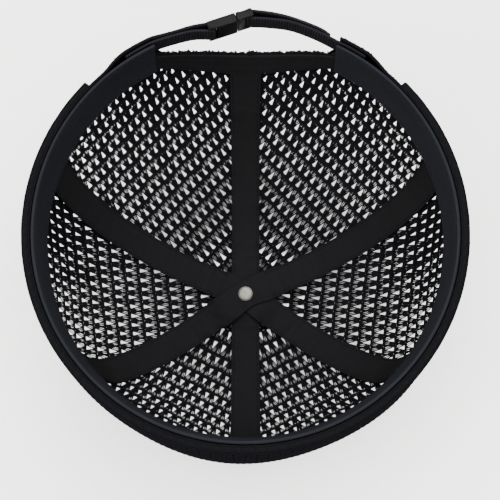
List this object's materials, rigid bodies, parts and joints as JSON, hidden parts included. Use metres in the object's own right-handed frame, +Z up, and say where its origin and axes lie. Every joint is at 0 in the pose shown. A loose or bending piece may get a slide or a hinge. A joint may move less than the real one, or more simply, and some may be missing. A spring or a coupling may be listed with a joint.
{
  "type": "mesh skull cap",
  "caption": "Brimless net skull cap lying on its crown, with taped seams, a sweatband, a rolled cuff and a webbing strap with a side-release buckle.",
  "frame": {"origin": "middle of the outline on the surface that the crown rests on", "axes": "+Z up out of the hollow, -Y towards the front of the cap, -X towards the cap's left side as worn"},
  "size_m": [0.2008, 0.204, 0.1094],
  "materials": {
    "net": "black warp-knitted polyester net",
    "tape": "matte black twill seam tape",
    "sweatband": "smooth black sweatband cloth with a faint sheen",
    "binding": "matte black binding",
    "cuff_net": "black net over a lining",
    "webbing": "ribbed black webbing",
    "buckle": "moulded black acetal",
    "button_cloth": "black cloth over a button",
    "rivet": "satin nickel-plated rivet head"
  },
  "bodies": {
    "root": {"mesh_panel_back_left": "net", "mesh_panel_side_left": "net", "mesh_panel_front_left": "net", "mesh_panel_front_right": "net", "mesh_panel_side_right": "net", "mesh_panel_back_right": "net", "seam_tape_front_back": "tape", "seam_tape_left_back": "tape", "seam_tape_right_back": "tape", "sweatband": "sweatband", "opening_binding": "binding", "cuff": "cuff_net", "strap_webbing_left": "webbing", "strap_webbing_right": "webbing", "buckle_socket": "buckle", "buckle_plug": "buckle", "top_button": "button_cloth", "crown_rivet": "rivet"}
  },
  "joints": []
}
